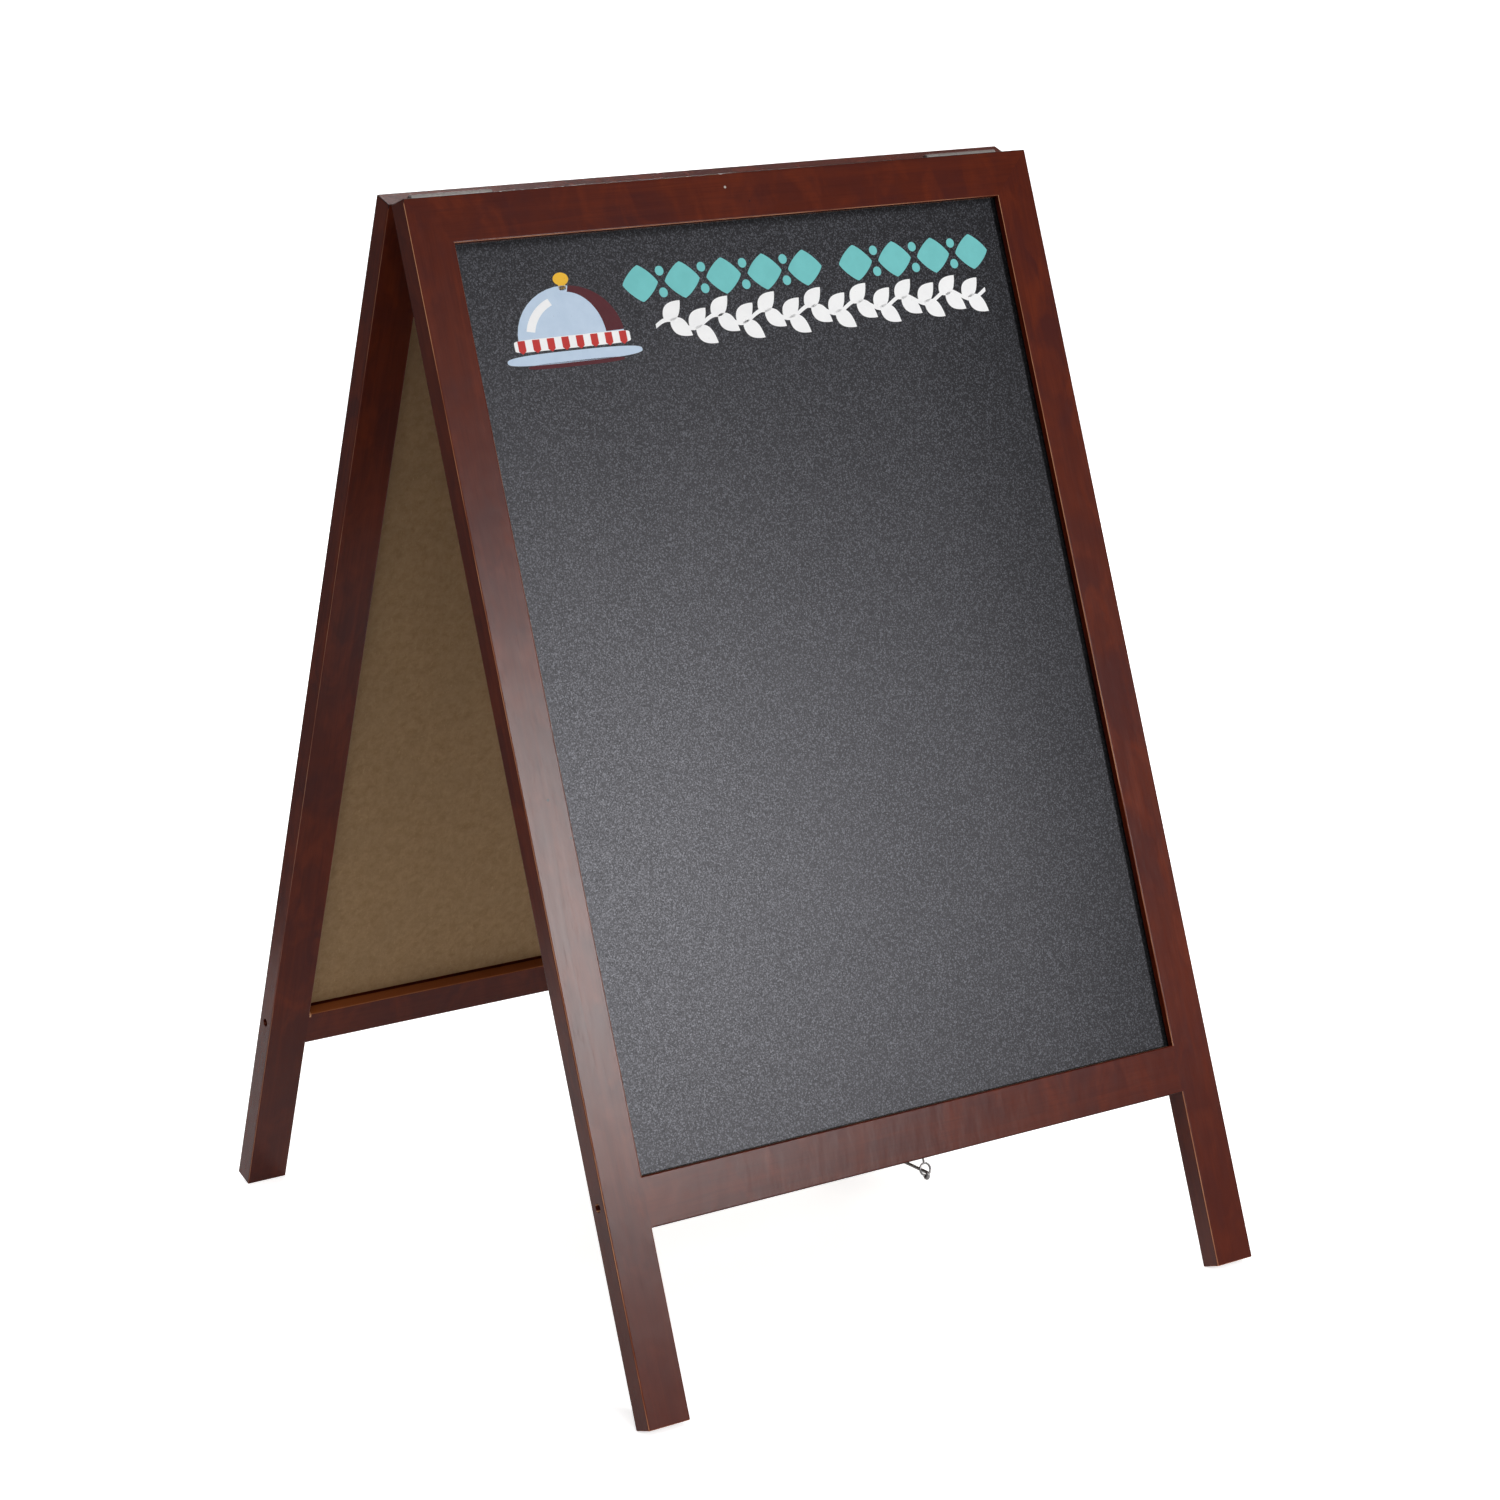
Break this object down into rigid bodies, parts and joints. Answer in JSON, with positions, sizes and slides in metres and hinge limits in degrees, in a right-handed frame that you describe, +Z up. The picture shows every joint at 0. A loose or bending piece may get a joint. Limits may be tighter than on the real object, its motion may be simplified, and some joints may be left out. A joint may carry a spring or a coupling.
{
  "type": "menu chalkboard easel",
  "caption": "Folding A-frame chalkboard: stained wood frames hinged along the top, each with a recessed black writing board, held open by a hooked wire stay between the bottom rails.",
  "frame": {"origin": "on the floor, under the middle of the hinge line", "axes": "+Z up; X along the hinge axis, -X to the left of someone reading the front; the front leaf faces -Y"},
  "size_m": [0.545, 0.6162, 0.8195],
  "materials": {
    "stained_wood": "mahogany stain under satin lacquer",
    "chalk_face": "matte black writing surface with a fine tooth",
    "hardboard": "bare pressed fibre",
    "dowel_beech": "bare",
    "zinc_steel": "bright zinc plate"
  },
  "bodies": {
    "front_leaf": {"front_left_stile": "stained_wood", "front_right_stile": "stained_wood", "front_top_rail": "stained_wood", "front_bottom_rail": "stained_wood", "front_chalk_sheet": "chalk_face", "front_backing_board": "hardboard", "front_corner_dowels": "dowel_beech", "front_rail_dowels": "dowel_beech", "front_rail_screws": "zinc_steel", "front_stay_eye": "zinc_steel", "front_hinge_screws": "zinc_steel", "left_hinge_front_plate": "zinc_steel", "left_hinge_pin": "zinc_steel", "right_hinge_front_plate": "zinc_steel", "right_hinge_pin": "zinc_steel"},
    "rear_leaf": {"rear_left_stile": "stained_wood", "rear_right_stile": "stained_wood", "rear_top_rail": "stained_wood", "rear_bottom_rail": "stained_wood", "rear_chalk_sheet": "chalk_face", "rear_backing_board": "hardboard", "rear_corner_dowels": "dowel_beech", "rear_rail_dowels": "dowel_beech", "rear_rail_screws": "zinc_steel", "rear_stay_eye": "zinc_steel", "rear_hinge_screws": "zinc_steel", "left_hinge_rear_plate": "zinc_steel", "right_hinge_rear_plate": "zinc_steel"},
    "stay": {"stay_rod": "zinc_steel"}
  },
  "joints": [
    {"name": "fold", "type": "hinge", "parent": "front_leaf", "child": "rear_leaf", "pos_m": [0, 0, 0.81651], "axis": [-1, 0, 0], "range_deg": [0, 39.2]},
    {"name": "stay_swing", "type": "hinge", "parent": "front_leaf", "child": "stay", "pos_m": [0, -0.25926, 0.11673], "axis": [-1, 0, 0], "range_deg": [0, 63]}
  ],
  "couplings": [
    {"joint": "stay_swing", "follows": "fold", "ratio": 1.6}
  ]
}
